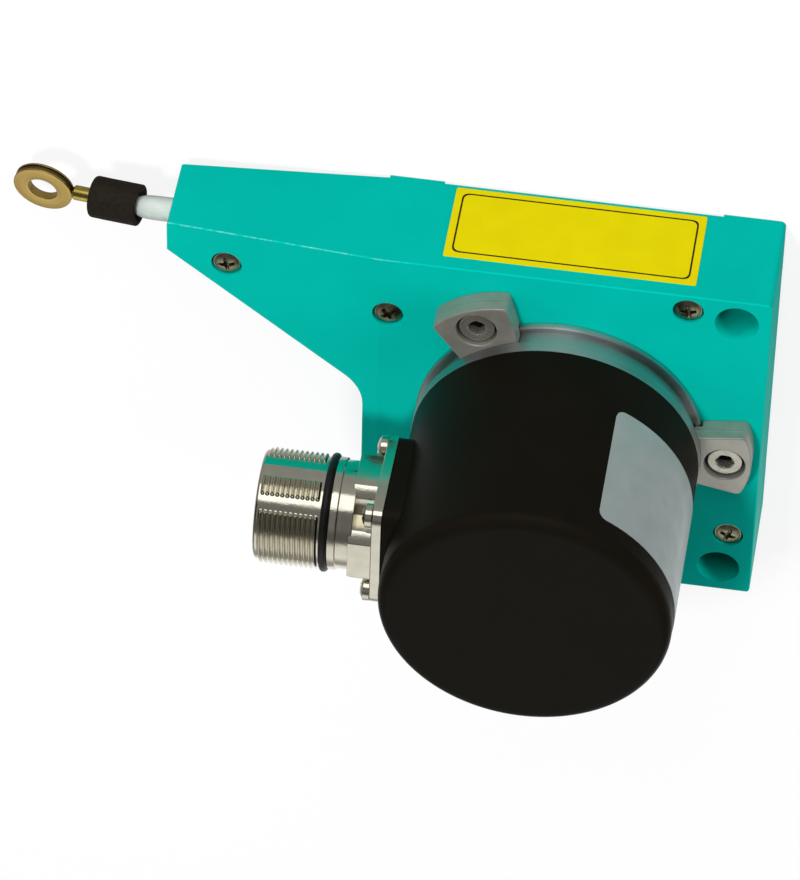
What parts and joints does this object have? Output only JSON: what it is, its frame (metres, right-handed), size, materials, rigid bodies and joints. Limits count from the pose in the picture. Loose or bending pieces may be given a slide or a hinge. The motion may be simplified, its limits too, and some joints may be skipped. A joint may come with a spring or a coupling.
{
  "type": "draw wire encoder",
  "caption": "Draw wire position encoder: flat housing with a sprung wire drum, a round shaft encoder clamped on its face, a round plug connector and a wire with an eyelet.",
  "frame": {"origin": "on the drum and encoder axis, in the mounting plane that the corner pads stand on", "axes": "+Z along the drum and encoder axis, away from the mounting plane; +X the way the wire is drawn out; the narrow face with the warning plate looks along -Y"},
  "size_m": [0.1535, 0.0837, 0.078],
  "materials": {
    "housing_plastic": "satin teal moulding",
    "screw_steel": "zinc plated steel",
    "insert_brass": "turned brass",
    "nozzle_plastic": "smooth white",
    "spring_steel": "blued ribbon",
    "bearing_steel": "ground",
    "black_steel": "blackened",
    "drum_alloy": "turned",
    "liner_plastic": "satin",
    "wire_steel": "stranded",
    "seal_rubber": "matt",
    "cover_black": "satin black",
    "disc_glass": "clear with a ruled track",
    "board_green": "solder resist",
    "chip_black": "moulded",
    "clamp_steel": "blasted stainless casting",
    "nickel": "nickel plated brass",
    "ferrule_brass": "turned brass"
  },
  "bodies": {
    "housing": {"front_shell": "housing_plastic", "back_plate": "housing_plastic", "housing_screws": "screw_steel", "clamp_inserts": "insert_brass", "wire_nozzle": "nozzle_plastic", "spring_arbor": "spring_steel", "spiral_spring": "spring_steel", "drum_bearing_outer": "bearing_steel", "encoder_flange": "drum_alloy", "encoder_bearing_outers": "bearing_steel", "cover_seal": "seal_rubber", "encoder_cover": "cover_black", "light_block": "chip_black", "sensor_board": "board_green", "sensor_chip": "chip_black", "board_spacers": "insert_brass", "interface_board": "board_green", "board_components": "chip_black", "board_screws": "screw_steel", "clamp_left": "clamp_steel", "clamp_right": "clamp_steel", "clamp_rear": "clamp_steel", "clamp_screws": "screw_steel", "connector_saddle": "cover_black", "connector_shell": "nickel", "connector_seal": "seal_rubber", "contact_insert": "chip_black", "contact_pins": "insert_brass", "connector_screws": "nickel"},
    "drum": {"wire_drum": "drum_alloy", "drum_bearing_inner": "bearing_steel", "drum_axle": "bearing_steel", "spring_cover": "liner_plastic", "wound_wire": "wire_steel", "hub_set_screw": "black_steel", "encoder_shaft": "bearing_steel", "encoder_bearing_inners": "bearing_steel", "bearing_circlip": "black_steel", "disc_hub": "drum_alloy", "code_disc": "disc_glass"},
    "drawn_wire": {"wire_run": "wire_steel"},
    "wire_end": {"rubber_stop": "seal_rubber", "end_ferrule": "ferrule_brass", "wire_loop": "wire_steel", "end_eyelet": "ferrule_brass"}
  },
  "joints": [
    {"name": "wire_draw", "type": "slide", "parent": "housing", "child": "drawn_wire", "axis": [1, 0, 0], "range_m": [0, 2], "stiffness_N_per_m": 1.5, "springref_m": -2.7, "deforming": ["wire_run"]},
    {"name": "drum_spin", "type": "hinge", "parent": "housing", "child": "drum", "pos_m": [0, 0, 0.012], "axis": [0, 0, 1], "range_deg": [0, 3140], "deforming": ["spiral_spring"]},
    {"name": "end_tilt", "type": "hinge", "parent": "drawn_wire", "child": "wire_end", "pos_m": [0.08551, -0.03661, 0.01312], "axis": [0, 1, 0], "range_deg": [-18, 0]}
  ],
  "couplings": [
    {"joint": "drum_spin", "follows": "wire_draw", "rad_per_m": 27.318}
  ]
}
